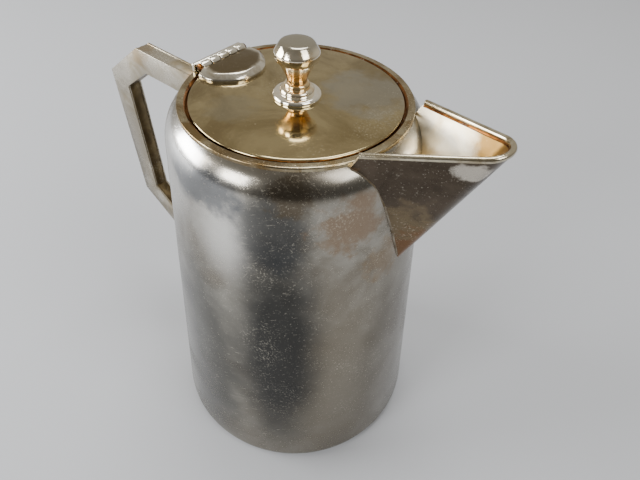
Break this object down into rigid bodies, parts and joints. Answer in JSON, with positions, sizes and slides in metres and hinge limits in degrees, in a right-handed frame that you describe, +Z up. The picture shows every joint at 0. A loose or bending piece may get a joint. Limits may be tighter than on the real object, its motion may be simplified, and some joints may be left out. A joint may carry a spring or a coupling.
{
  "type": "coffee pot",
  "caption": "Conical metal coffee pot with a soldered V spout, an angular box handle and a flat hinged lid with a turned knob.",
  "frame": {"origin": "centre of the bounding box at the height of the standing ring's underside", "axes": "+Z up along the pot's axis, +X towards the spout, -X towards the handle, Y across"},
  "size_m": [0.1758, 0.1112, 0.1756],
  "materials": {
    "tarnished_plate": "silver plate on nickel silver, softly polished and tarnished",
    "olive_plate": "silver plate on nickel silver, mirror polished, olive tarnish",
    "satin_plate": "silver plate on nickel silver, satin",
    "bright_plate": "silver plate on nickel silver, rubbed bright",
    "inside_plate": "plated inside, dull",
    "nickel_steel": "nickel-plated steel"
  },
  "bodies": {
    "pot": {"pot_body": "tarnished_plate", "base_disc": "inside_plate", "mouth_ring": "bright_plate", "spout": "tarnished_plate", "spout_lip": "bright_plate", "handle_cheek_left": "satin_plate", "handle_cheek_right": "satin_plate", "handle_outer_band": "satin_plate", "handle_inner_band": "satin_plate", "hinge_bracket": "bright_plate", "hinge_pin": "bright_plate", "hinge_knuckle_1": "bright_plate", "hinge_knuckle_3": "bright_plate", "hinge_knuckle_5": "bright_plate"},
    "lid": {"hinge_knuckle_2": "bright_plate", "hinge_knuckle_4": "bright_plate", "hinge_leaf": "bright_plate", "lid_plate": "olive_plate", "lid_collar": "inside_plate", "knob_flange": "bright_plate", "knob_step": "bright_plate", "knob_bead": "bright_plate", "knob": "bright_plate", "knob_stud": "nickel_steel", "knob_washer": "nickel_steel", "knob_nut": "nickel_steel"}
  },
  "joints": [
    {"name": "lid_hinge", "type": "hinge", "parent": "pot", "child": "lid", "pos_m": [-0.01823, 0, 0.15933], "axis": [0, -1, 0], "range_deg": [0, 105]}
  ]
}
